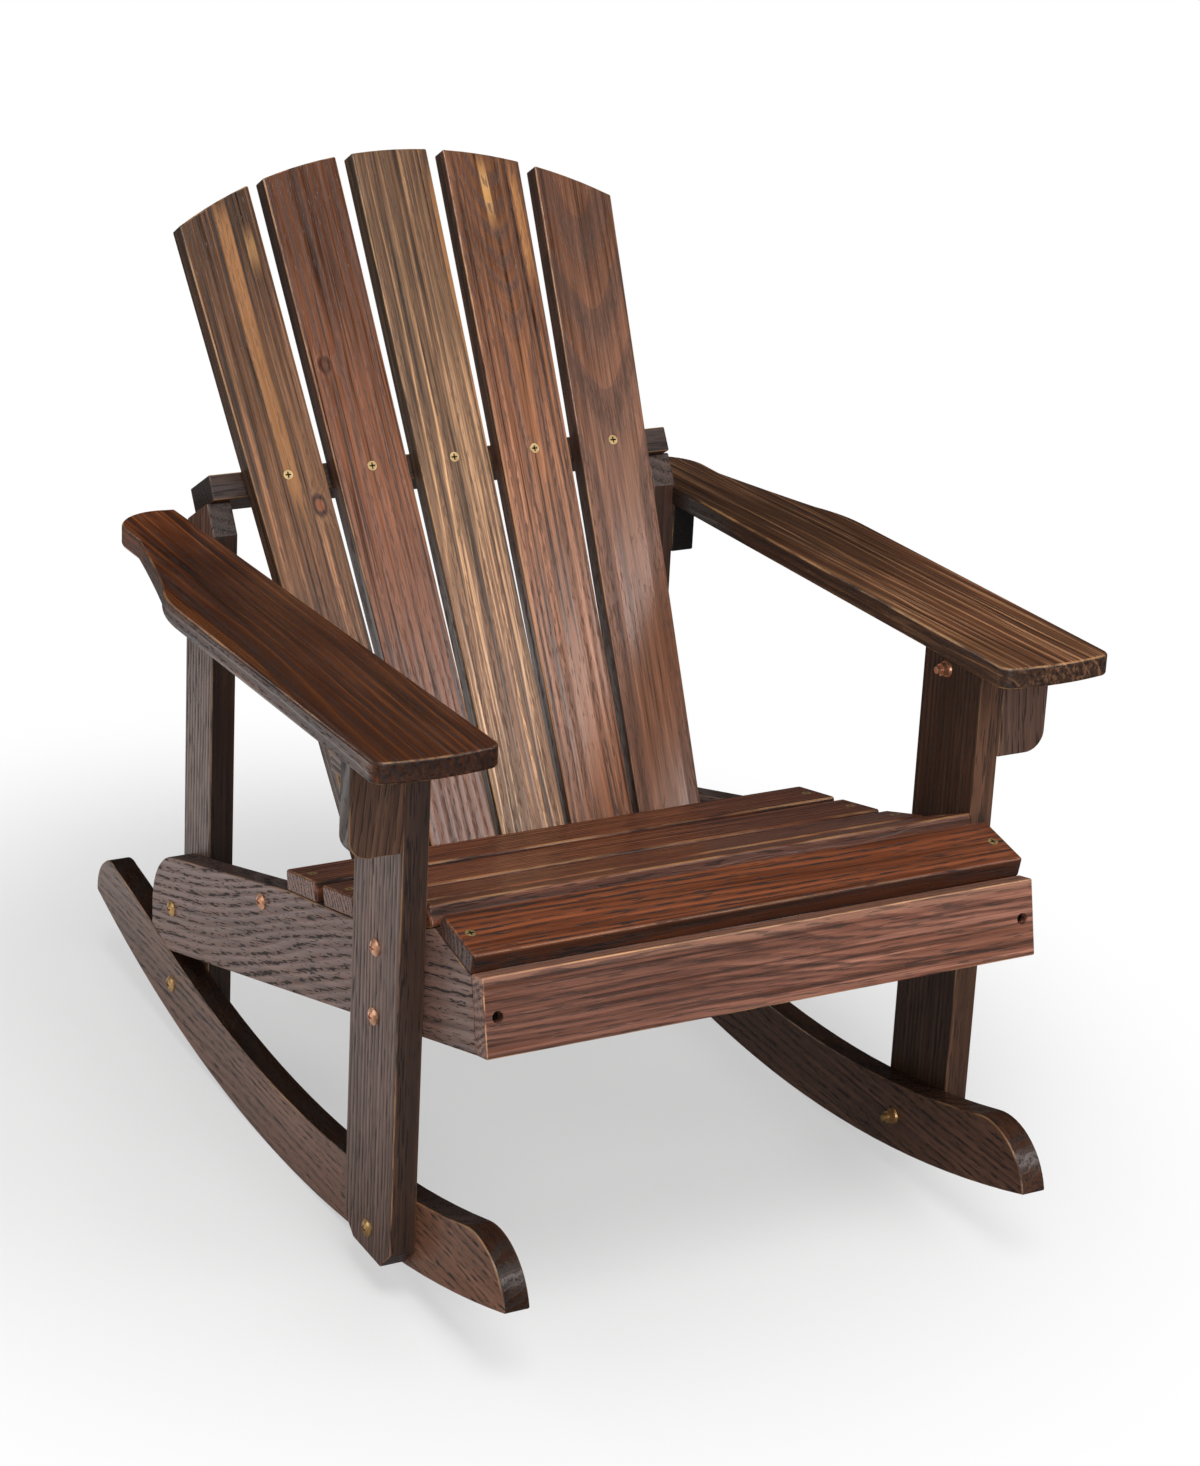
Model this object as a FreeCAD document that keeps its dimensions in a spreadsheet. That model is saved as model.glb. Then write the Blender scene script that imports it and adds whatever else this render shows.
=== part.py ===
"""Rocking chair of the adirondack kind, in a child's size, as an assembly of separate boards and fasteners.

Millimetres, +Z up, the sitter faces -Y. The boards are drawn with the legs plumb, the running edge's lowest
point at height 0 and y counted from the chair's middle. At the end everything is rolled back on the rockers
to where the chair comes to rest, and the origin is then on the floor under the middle of the chair.
Every fastener is listed once, in fastener_list, and both the metal piece and its hole come from that list.
"""
import FreeCAD, Part
import math
import os

doc = FreeCAD.newDocument("rocking_chair")
Vector = FreeCAD.Vector
LEFT, RIGHT = -1, 1
SIDES = ((LEFT, "left"), (RIGHT, "right"))

# Driving dimensions: alias, value, meaning
SIZES = (
    ("seat_half_width", 200, "from the middle to the outer faces of the seat rails"),
    ("frame_board", 18, "thickness of legs, rails, rockers and battens"),
    ("slat_board", 14.5, "thickness of slats, apron, armrests and arm brackets"),
    ("batten_depth", 36, "the wide side of the battens"),
    ("frame_edge", 1.2, "rounding of the edges of the frame boards"),
    ("slat_edge", 2, "rounding of the edges of the slats and armrests"),
    ("rest_pitch", 1.88, "degrees that the chair leans back where it comes to rest"),
    ("rocker_radius", 967, "radius of the rockers' running edge"),
    ("rocker_depth", 48, "depth of a rocker's board"),
    ("rocker_middle", -26.4, "centre of the running edge, front to back"),
    ("rocker_nose", 45, "radius of the rounded nose"),
    ("rocker_nose_y", -283, "centre of the nose's rounding, front to back"),
    ("rocker_heel_y", 329.6, "rear end of the running edge"),
    ("heel_bulge", 3.2, "how far the rocker's rear end bows out behind that"),
    ("heel_shoulder", 31, "height of the rear end's shoulder over the running edge"),
    ("heel_depth", 40.3, "depth of the rocker's board at its rear end"),
    ("heel_length", 115, "length over which the board deepens from there"),
    ("front_leg_face", -207, "front face of the front legs"),
    ("front_leg_width", 67, "front legs, front to back"),
    ("front_foot", 17, "lowest point of the front legs"),
    ("rear_leg_face", 164.1, "front face of the rear legs"),
    ("rear_leg_width", 45.5, "rear legs, front to back"),
    ("rear_foot", 36, "lowest point of the rear legs"),
    ("arm_height", 389.7, "top of the armrests"),
    ("arm_front", -262, "front end of the armrests"),
    ("arm_rear", 238.7, "rear end of the armrests"),
    ("arm_inner", 180, "from the middle to the armrests' inner edges"),
    ("arm_width", 84.2, "armrest, its wide part"),
    ("arm_tail_width", 50, "armrest, its narrow tail"),
    ("arm_tail_round", 34.5, "radius of the tail's outer rear corner"),
    ("bracket_width", 36.5, "arm bracket, sideways"),
    ("bracket_drop", 69, "arm bracket, below the armrest"),
    ("bracket_corner", 14, "radius of the bracket's lower outer corner"),
    ("apron_height", 50.8, "apron, along its lean"),
    ("apron_lean", 12, "degrees that the apron's top leans back"),
    ("apron_top", 251.6, "upper front edge of the apron"),
    ("apron_face", -281, "upper front edge of the apron, front to back"),
    ("rail_slope", 14.83, "degrees that the seat rails fall to the rear"),
    ("rail_depth", 70, "depth of a seat rail's board"),
    ("rail_end", 224.5, "rear end of the seat rails"),
    ("rail_end_radius", 48, "radius of the rails' rounded rear end"),
    ("seat_rear", -4, "rear lower edge of the rearmost seat slat"),
    ("seat_slope", 11, "degrees that the rear of the seat falls to the rear"),
    ("seat_flat", 78.4, "length of the straight rear part of the seat"),
    ("seat_curve", 580, "radius of the seat's curve under the knees"),
    ("seat_slat_width", 46.2, "seat slats, front to back"),
    ("seat_slat_gap", 11.1, "gap between the undersides of the seat slats"),
    ("front_slat_width", 45, "front slat, front to back"),
    ("front_slat_slope", 12.3, "degrees that the front slat falls to the front"),
    ("recline", 31.4, "degrees that the back leans from the legs"),
    ("back_foot_y", 54.5, "front plane of the back at the apron's height"),
    ("back_low", -97, "lower ends of the back slats, along the slope"),
    ("back_high", 435.4, "top of the back, along the slope"),
    ("back_arc", 340, "radius of the back's arched top"),
    ("back_slat_high", 59, "width of a back slat at its top"),
    ("back_slat_low", 48.8, "width of a back slat at its lower end"),
    ("back_pitch", 53, "distance between the back slats' middles at their lower ends"),
    ("back_fan", 2, "degrees between neighbouring back slats"),
    ("crossbar_low", 200, "underside of the upper crossbar, along the slope"),
    ("crossbar_half", 179.5, "from the middle to the upper crossbar's ends"),
    ("crossbar_overhang", 6.5, "the upper crossbar's front ahead of the rear legs"),
    ("crosspiece_mid", -83, "middle of the lower crosspiece, along the slope"),
    ("crosspiece_bolt", -75, "the bolts in its ends, along the slope"),
    ("front_bolts", -174, "the front legs' bolts, front to back"),
    ("rear_bolts", 188.1, "the rear legs' bolts, front to back"),
    ("bolt_shank", 5, "diameter of the frame bolts"),
    ("bolt_head", 11.8, "diameter of their domed heads"),
    ("bolt_dome", 3.2, "height of their heads"),
    ("bolt_length", 45, "length under the head"),
    ("nut_flats", 8, "flange nuts across the flats"),
    ("nut_flange", 11.8, "diameter of their flange"),
    ("nut_height", 5, "height of the flange nuts"),
    ("screw_shank", 3.5, "diameter of the wood screws"),
    ("screw_head", 7, "diameter of their countersunk heads"),
    ("hole_clearance", 0.2, "room round a fastener in its hole, on the radius"),
    ("apron_bore", 7.6, "diameter of the deep screw holes in the apron"),
    ("apron_bore_depth", 6, "how deep the apron's screws are sunk"),
)

sheet = doc.addObject("Spreadsheet::Sheet", "Sizes")
for row, (alias, number, meaning) in enumerate(SIZES, start=1):
    sheet.set("A%d" % row, alias)
    sheet.set("B%d" % row, str(number))
    sheet.set("C%d" % row, meaning)
    sheet.setAlias("B%d" % row, alias)
doc.recompute()


def size(alias):
    """The value of a driving dimension."""
    return float(sheet.get(alias))


def unit(angle):
    """The unit vector (y, z) at an angle in degrees above the rearward direction."""
    return math.cos(math.radians(angle)), math.sin(math.radians(angle))


def crossings(centre, radius, point, direction):
    """The two places where a line crosses a circle, in the line's direction."""
    along = (centre[0] - point[0]) * direction[0] + (centre[1] - point[1]) * direction[1]
    nearest = (point[0] + along * direction[0], point[1] + along * direction[1])
    half_chord = math.sqrt(radius ** 2 - math.dist(nearest, centre) ** 2)
    return [(point[0] + (along + step) * direction[0], point[1] + (along + step) * direction[1])
            for step in (-half_chord, half_chord)]


def on_circle(centre, radius, across, upper=False):
    """The lower or upper point of a circle at a place across it."""
    rise = math.sqrt(radius ** 2 - (across - centre[0]) ** 2)
    return across, centre[1] + (rise if upper else -rise)


def line(start, end):
    return Part.LineSegment(Vector(start[0], start[1], 0), Vector(end[0], end[1], 0))


def arc(centre, start, end):
    """The arc that runs anticlockwise from start to end."""
    radius = math.dist(centre, start)
    first = math.atan2(start[1] - centre[1], start[0] - centre[0])
    last = math.atan2(end[1] - centre[1], end[0] - centre[0])
    if last <= first:
        last += 2 * math.pi
    circle = Part.Circle(Vector(centre[0], centre[1], 0), Vector(0, 0, 1), radius)
    return Part.ArcOfCircle(circle, first, last)


def through(start, middle, end):
    """The arc through three points."""
    return Part.Arc(*(Vector(p[0], p[1], 0) for p in (start, middle, end)))


def corner_arc(before, corner, after, radius):
    """The rounding of a corner: where it starts, where it ends, and its centre."""
    to_before = Vector(before[0] - corner[0], before[1] - corner[1], 0).normalize()
    to_after = Vector(after[0] - corner[0], after[1] - corner[1], 0).normalize()
    half = to_before.getAngle(to_after) / 2
    run = radius / math.tan(half)
    middle = (to_before + to_after).normalize() * (radius / math.sin(half))
    at = Vector(corner[0], corner[1], 0)
    return tuple((at + step)[:2] for step in (to_before * run, to_after * run, middle))


def rounded_outline(corners):
    """Lines round a list of (across, up, radius) corners, with an arc wherever a radius is given."""
    ends = []
    for index, (across, up, radius) in enumerate(corners):
        before, after = corners[index - 1], corners[(index + 1) % len(corners)]
        if radius:
            ends.append(corner_arc(before, (across, up), after, radius))
        else:
            ends.append(((across, up), (across, up), None))
    edges = []
    for index, (start, end, centre) in enumerate(ends):
        if centre:
            turn = (start[0] - centre[0]) * (end[1] - centre[1]) - (start[1] - centre[1]) * (end[0] - centre[0])
            edges.append(arc(centre, start, end) if turn > 0 else arc(centre, end, start))
        edges.append(line(end, ends[(index + 1) % len(ends)][0]))
    return edges


def board(label, plane, edges, thickness, offset, rounding, place=None):
    """A body padded from an outline on one of its own origin planes, with every edge rounded.

    thickness, offset and rounding are expressions on the sheet of sizes.
    """
    body = doc.addObject("PartDesign::Body", label + "_board")
    origin_plane = next(p for p in body.Origin.OriginFeatures if p.Role == plane)
    sketch = body.newObject("Sketcher::SketchObject", label + "_outline")
    sketch.AttachmentSupport = [(origin_plane, "")]
    sketch.MapMode = "FlatFace"
    sketch.setExpression("AttachmentOffset.Base.z", offset)
    sketch.addGeometry(edges, False)
    pad = body.newObject("PartDesign::Pad", label + "_pad")
    pad.Profile = sketch
    pad.setExpression("Length", thickness)
    doc.recompute()
    fillet = body.newObject("PartDesign::Fillet", label + "_rounding")
    fillet.Base = (pad, ["Edge%d" % (i + 1) for i in range(len(pad.Shape.Edges))])
    fillet.setExpression("Radius", rounding)
    if place:
        body.Placement = place
    doc.recompute()
    return body


def side_board(label, side, edges, outer, thickness="Sizes.frame_board"):
    """An upright board at one side, between outer and outer less its thickness from the middle."""
    offset = "-(%s)" % outer if side == LEFT else "(%s) - %s" % (outer, thickness)
    return board(label, "YZ_Plane", edges, thickness, offset, "Sizes.frame_edge")


boards = {}

# Rockers: a running edge and an upper edge on one centre, a round nose, and a rounded heel
rocker_centre = (size("rocker_middle"), size("rocker_radius"))
upper_radius = size("rocker_radius") - size("rocker_depth")


def heel_point(ahead, deep):
    """The point of a rocker at a run ahead of its rear end and a depth above the running edge."""
    radius = size("rocker_radius")
    turn = math.asin((size("rocker_heel_y") - rocker_centre[0]) / radius) - ahead / radius
    return (rocker_centre[0] + (radius - deep) * math.sin(turn),
            rocker_centre[1] - (radius - deep) * math.cos(turn))


def rocker_outline():
    """The shoulder and the deepening at the rear end are arcs through three points each."""
    run, nose = size("rocker_radius"), size("rocker_nose")
    bulge, shoulder, heel = size("heel_bulge"), size("heel_shoulder"), size("heel_depth")
    ease, depth = size("heel_length"), size("rocker_depth")
    shoulder_run, shoulder_middle = 20, 9
    # The nose's rounding touches the upper edge and ends on the running edge
    nose_reach = upper_radius + nose
    nose_centre = on_circle(rocker_centre, nose_reach, size("rocker_nose_y"))
    down = ((nose_centre[0] - rocker_centre[0]) / nose_reach, (nose_centre[1] - rocker_centre[1]) / nose_reach)
    nose_top = (nose_centre[0] - nose * down[0], nose_centre[1] - nose * down[1])
    reach = (run ** 2 - nose ** 2 + nose_reach ** 2) / (2 * nose_reach)
    off = math.sqrt(run ** 2 - reach ** 2)
    nose_tip = (rocker_centre[0] + reach * down[0] + off * down[1],
                rocker_centre[1] + reach * down[1] - off * down[0])
    return [
        arc(rocker_centre, nose_tip, heel_point(0, 0)),
        through(heel_point(0, 0), heel_point(-bulge, shoulder * 0.42), heel_point(bulge, shoulder)),
        through(heel_point(bulge, shoulder), heel_point(shoulder_middle, heel * 0.92),
                heel_point(shoulder_run, heel)),
        through(heel_point(shoulder_run, heel), heel_point(ease / 2, (heel + depth) / 2 + 1),
                heel_point(ease, depth)),
        arc(rocker_centre, nose_top, heel_point(ease, depth)),
        arc(nose_centre, nose_top, nose_tip),
    ]


# Side view of the seat: the slats stand on this line of the rails, a straight rear part and a curve
seat_line_y = size("seat_rear")
apron_lean = math.radians(size("apron_lean"))
apron_corner = (size("apron_face"), size("apron_top"))
rail_low_angle = -size("rail_slope")
board_step = size("slat_board")
apron_back_high = (apron_corner[0] + board_step * math.cos(apron_lean),
                   apron_corner[1] - board_step * math.sin(apron_lean))
apron_back_low = (apron_back_high[0] - size("apron_height") * math.sin(apron_lean),
                  apron_back_high[1] - size("apron_height") * math.cos(apron_lean))
rail_direction = unit(rail_low_angle)
rail_up = (-rail_direction[1], rail_direction[0])
rail_top_point = (apron_back_low[0] + rail_up[0] * size("rail_depth"),
                  apron_back_low[1] + rail_up[1] * size("rail_depth"))


def rail_top(y):
    """Height of the rails' straight upper edge."""
    return rail_top_point[1] + (y - rail_top_point[0]) * math.tan(math.radians(rail_low_angle))


seat_start = (seat_line_y, rail_top(seat_line_y))
seat_step = unit(180 - size("seat_slope"))
curve_start = (seat_start[0] + seat_step[0] * size("seat_flat"),
               seat_start[1] + seat_step[1] * size("seat_flat"))
curve_normal = unit(90 - size("seat_slope"))
curve_centre = (curve_start[0] + curve_normal[0] * size("seat_curve"),
                curve_start[1] + curve_normal[1] * size("seat_curve"))


def seat_point(run):
    """The point of the seat line at a run forward from its rear end."""
    past = run - size("seat_flat")
    if past <= 0:
        return seat_start[0] + seat_step[0] * run, seat_start[1] + seat_step[1] * run
    down = unit(-90 - size("seat_slope") - math.degrees(past / size("seat_curve")))
    return curve_centre[0] + down[0] * size("seat_curve"), curve_centre[1] + down[1] * size("seat_curve")


seat_pitch = size("seat_slat_width") + size("seat_slat_gap")
seat_slats = [(seat_point(i * seat_pitch), seat_point(i * seat_pitch + size("seat_slat_width")))
              for i in range(4)]
knee = seat_slats[-1][1]
front_step = unit(size("front_slat_slope"))
front_slat_clearance = 0.6
front_low = (apron_back_high[0] + front_slat_clearance, apron_back_high[1] - 1.5)
front_slat = ((front_low[0] + front_step[0] * size("front_slat_width"),
               front_low[1] + front_step[1] * size("front_slat_width")), front_low)


def meeting(first, first_direction, second, second_direction):
    """Where two lines of the side view meet."""
    cross = first_direction[0] * second_direction[1] - first_direction[1] * second_direction[0]
    between = (second[0] - first[0], second[1] - first[1])
    along = (between[0] * second_direction[1] - between[1] * second_direction[0]) / cross
    return first[0] + along * first_direction[0], first[1] + along * first_direction[1]


def rail_outline():
    curved = seat_pitch * 3 + size("seat_slat_width") - size("seat_flat")
    knee_angle = size("seat_slope") + math.degrees(curved / size("seat_curve"))
    crest = meeting(knee, unit(180 - knee_angle), front_low, front_step)
    crest_rear, crest_front, crest_centre = corner_arc(knee, crest, front_low, 5)
    lean_step = (-math.sin(apron_lean), -math.cos(apron_lean))
    front_high = meeting(apron_back_high, lean_step, front_low, front_step)
    # The lower rear edge follows the rocker's upper edge, a hair above it
    clearance = 0.3
    seat_on_rocker = upper_radius - clearance
    low_rear = crossings(rocker_centre, seat_on_rocker, apron_back_low, rail_direction)[1]
    end_low = on_circle(rocker_centre, seat_on_rocker, size("rail_end"))
    end_radius = size("rail_end_radius")
    end_centre_y = size("rail_end") - end_radius
    up = (-rail_direction[1], rail_direction[0])
    end_centre_z = rail_top(end_centre_y) - end_radius / math.cos(math.radians(rail_low_angle))
    end_high = (end_centre_y + up[0] * end_radius, end_centre_z + up[1] * end_radius)
    end_side = (size("rail_end"), end_centre_z)
    return [
        line(apron_back_low, low_rear),
        arc(rocker_centre, low_rear, end_low),
        line(end_low, end_side),
        arc((end_centre_y, end_centre_z), end_side, end_high),
        line(end_high, seat_start),
        line(seat_start, curve_start),
        arc(curve_centre, knee, curve_start),
        line(knee, crest_rear),
        arc(crest_centre, crest_rear, crest_front),
        line(crest_front, front_high),
        line(front_high, apron_back_low),
    ]


# Side view of the back: distances along the slope and behind the slats' front plane
slope_up = unit(90 - size("recline"))
slope_back = (slope_up[1], -slope_up[0])
back_foot = (size("back_foot_y"), size("apron_top"))


def back_point(along, behind):
    """The point (y, z) of the back at a distance up the slope and behind the slats' front plane."""
    return (back_foot[0] + along * slope_up[0] + behind * slope_back[0],
            back_foot[1] + along * slope_up[1] + behind * slope_back[1])


# Legs: the front ones end in a pointed foot, the rear ones carry the upper crossbar on a slanted cut
arm_underside = size("arm_height") - size("slat_board")
front_leg_rear = size("front_leg_face") + size("front_leg_width")
rear_leg_rear = size("rear_leg_face") + size("rear_leg_width")


def front_leg_outline():
    face, rear, foot = size("front_leg_face"), front_leg_rear, size("front_foot")
    bevel, foot_rise = 14, 2
    return rounded_outline([
        (face, foot + bevel, 0), (face + bevel, foot, 0), (rear - bevel, foot + foot_rise, 0),
        (rear, foot + bevel, 0), (rear, arm_underside, 0), (face, arm_underside, 0)])


def rear_leg_outline():
    face, rear, foot = size("rear_leg_face"), rear_leg_rear, size("rear_foot")
    cut_front = back_point(size("crossbar_low"), size("slat_board") + size("crossbar_overhang"))
    cut_rear = meeting(cut_front, slope_back, (rear, 0), (0, 1))
    bevel_low = meeting(cut_front, slope_up, (face, 0), (0, 1))
    foot_rise = size("rear_leg_width") * (face - rocker_centre[0]) / size("rocker_radius")
    return rounded_outline([
        (face, foot, 0), (rear, foot + foot_rise, 0), (rear, cut_rear[1], 0),
        (cut_front[0], cut_front[1], 0), (face, bevel_low[1], 0)])


for side, name in SIDES:
    boards[name + "_rocker"] = side_board(name + "_rocker", side, rocker_outline(), "Sizes.seat_half_width")
    boards[name + "_seat_rail"] = side_board(name + "_seat_rail", side, rail_outline(), "Sizes.seat_half_width")
    boards[name + "_front_leg"] = side_board(
        name + "_front_leg", side, front_leg_outline(), "Sizes.seat_half_width + Sizes.frame_board")
    boards[name + "_rear_leg"] = side_board(
        name + "_rear_leg", side, rear_leg_outline(), "Sizes.seat_half_width - Sizes.frame_board")

# Armrests: straight inside, notched outside where the narrow tail starts, bowed at the front
arm_inner = size("arm_inner")
arm_outer = arm_inner + size("arm_width")
tail_outer = arm_inner + size("arm_tail_width")
front_corner, bow = 9, 3
notch_front, notch_rear = 39, 181


def mirrored(point, side):
    return point[0] * side, point[1]


def arm_outline(side):
    """Corners are rounded by arcs of a quarter turn, and the notch is two arcs that meet in its middle."""
    front, rear = size("arm_front"), size("arm_rear")
    tail_round = size("arm_tail_round")
    diagonal = 1 - math.sqrt(0.5)
    points = {
        "front_inner": (arm_inner + front_corner, front + bow),
        "front_middle": ((arm_inner + arm_outer) / 2, front),
        "front_outer": (arm_outer - front_corner, front + bow),
        "front_outer_mid": (arm_outer - front_corner * diagonal, front + bow + front_corner * diagonal),
        "outer_front": (arm_outer, front + bow + front_corner),
        "outer_rear": (arm_outer - 1, notch_front),
        "notch_bulge": (arm_outer - 3.8, notch_front + 23.5),
        "notch": (arm_outer - 11.2, notch_front + 46),
        "notch_hollow": (tail_outer + 11.4, notch_rear - 50),
        "tail_side": (tail_outer, notch_rear),
        "tail_rear": (tail_outer, rear - tail_round),
        "tail_mid": (tail_outer - tail_round * diagonal, rear - tail_round * diagonal),
        "rear_outer": (tail_outer - tail_round, rear),
        "rear_inner": (arm_inner, rear - 2),
        "inner_front": (arm_inner, front + bow + front_corner),
        "inner_mid": (arm_inner + front_corner * diagonal, front + bow + front_corner * diagonal),
    }
    p = {key: mirrored(value, side) for key, value in points.items()}
    return [
        through(p["front_inner"], p["front_middle"], p["front_outer"]),
        through(p["front_outer"], p["front_outer_mid"], p["outer_front"]),
        line(p["outer_front"], p["outer_rear"]),
        through(p["outer_rear"], p["notch_bulge"], p["notch"]),
        through(p["notch"], p["notch_hollow"], p["tail_side"]),
        line(p["tail_side"], p["tail_rear"]),
        through(p["tail_rear"], p["tail_mid"], p["rear_outer"]),
        line(p["rear_outer"], p["rear_inner"]),
        line(p["rear_inner"], p["inner_front"]),
        through(p["inner_front"], p["inner_mid"], p["front_inner"]),
    ]


def bracket_outline(side):
    """Front view of the board under the armrest, outside the front leg."""
    inner = size("seat_half_width") + size("frame_board")
    outer = inner + size("bracket_width")
    low = arm_underside - size("bracket_drop")
    return rounded_outline([
        (side * inner, low, 0), (side * outer, low, size("bracket_corner")),
        (side * outer, arm_underside, 0), (side * inner, arm_underside, 0)])


def rectangle(low, high):
    return rounded_outline([
        (low[0], low[1], 0), (high[0], low[1], 0), (high[0], high[1], 0), (low[0], high[1], 0)])


cleat_low = arm_underside - size("batten_depth")
for side, name in SIDES:
    boards[name + "_armrest"] = board(
        name + "_armrest", "XY_Plane", arm_outline(side), "Sizes.slat_board",
        "Sizes.arm_height - Sizes.slat_board", "Sizes.slat_edge")
    boards[name + "_arm_bracket"] = board(
        name + "_arm_bracket", "XZ_Plane", bracket_outline(side), "Sizes.slat_board",
        "-Sizes.front_leg_face - Sizes.slat_board", "Sizes.frame_edge")
    boards[name + "_front_arm_cleat"] = side_board(
        name + "_front_arm_cleat", side,
        rectangle((size("front_leg_face") + size("slat_board"), cleat_low), (front_leg_rear, arm_underside)),
        "Sizes.seat_half_width + 2 * Sizes.frame_board")
    boards[name + "_rear_arm_cleat"] = side_board(
        name + "_rear_arm_cleat", side,
        rectangle((size("rear_leg_face"), cleat_low), (rear_leg_rear, arm_underside)), "Sizes.seat_half_width")


def sloped(point, angle):
    """The placement that turns a body about X and sets its origin at a point (y, z)."""
    return FreeCAD.Placement(Vector(0, *point), FreeCAD.Rotation(Vector(1, 0, 0), angle))


def middle_of(ends):
    return tuple((a + b) / 2 for a, b in zip(*ends))


# Seat slats stand as chords on the seat line, and the front slat falls to the apron
half_width = size("seat_half_width")
half = size("seat_slat_width") / 2
for index, (rear, front) in enumerate(seat_slats):
    label = "seat_slat_%d" % (index + 1)
    angle = -math.degrees(math.atan2(front[1] - rear[1], rear[0] - front[0]))
    boards[label] = board(
        label, "XY_Plane", rectangle((-half_width, -half), (half_width, half)), "Sizes.slat_board", "0",
        "Sizes.slat_edge", sloped(middle_of((rear, front)), angle))
half = size("front_slat_width") / 2
boards["front_seat_slat"] = board(
    "front_seat_slat", "XY_Plane", rectangle((-half_width, -half), (half_width, half)), "Sizes.slat_board", "0",
    "Sizes.slat_edge", sloped(middle_of(front_slat), size("front_slat_slope")))

# Apron, from its upper front edge down
boards["front_apron"] = board(
    "front_apron", "XZ_Plane", rectangle((-half_width, -size("apron_height")), (half_width, 0)),
    "Sizes.slat_board", "-Sizes.slat_board", "Sizes.frame_edge", sloped(apron_corner, -size("apron_lean")))


def back_slat_outline(number):
    """A tapered slat, turned by its share of the fan, with the common arch as its upper end."""
    fan = math.radians(size("back_fan")) * number
    low, high = size("back_low"), size("back_high")
    foot = (size("back_pitch") * number, low)
    along = (math.sin(fan), math.cos(fan))
    across = (math.cos(fan), -math.sin(fan))
    length = high - low
    growth = (size("back_slat_high") - size("back_slat_low")) / 2 / length
    arch_centre = (0, high - size("back_arc"))
    ends = []
    for edge in (-1, 1):
        start = (foot[0] + edge * across[0] * size("back_slat_low") / 2,
                 foot[1] + edge * across[1] * size("back_slat_low") / 2)
        direction = (along[0] + edge * growth * across[0], along[1] + edge * growth * across[1])
        scale = math.hypot(*direction)
        direction = (direction[0] / scale, direction[1] / scale)
        ends.append((start, crossings(arch_centre, size("back_arc"), start, direction)[1]))
    (left_low, left_high), (right_low, right_high) = ends
    return [line(left_low, right_low), line(right_low, right_high),
            arc(arch_centre, right_high, left_high), line(left_high, left_low)]


back_place = sloped(back_foot, 90 - size("recline"))
for number in range(-2, 3):
    label = "back_slat_%d" % (number + 3)
    boards[label] = board(label, "XY_Plane", back_slat_outline(number), "Sizes.slat_board", "-Sizes.slat_board",
                          "Sizes.frame_edge", back_place)

# Battens behind the back slats: the upper one is set on edge, the lower one lies flat against the slats
crossbar_half, crosspiece_half = size("crossbar_half"), size("seat_half_width") - size("frame_board")
crossbar_low = size("crossbar_low")
boards["upper_crossbar"] = board(
    "upper_crossbar", "XY_Plane",
    rectangle((-crossbar_half, crossbar_low), (crossbar_half, crossbar_low + size("frame_board"))),
    "Sizes.batten_depth", "-Sizes.slat_board - Sizes.batten_depth", "Sizes.frame_edge", back_place)
crosspiece_mid, batten_half = size("crosspiece_mid"), size("batten_depth") / 2
boards["lower_crosspiece"] = board(
    "lower_crosspiece", "XY_Plane",
    rectangle((-crosspiece_half, crosspiece_mid - batten_half),
              (crosspiece_half, crosspiece_mid + batten_half)),
    "Sizes.frame_board", "-Sizes.slat_board - Sizes.frame_board", "Sizes.frame_edge", back_place)


# Fasteners: name of the group, where the head's seat is, the direction of the shank, and the length
fastener_list = []


def fasten(group, position, direction, length):
    fastener_list.append((group, Vector(*position), Vector(*direction).normalize(), length))


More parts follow.
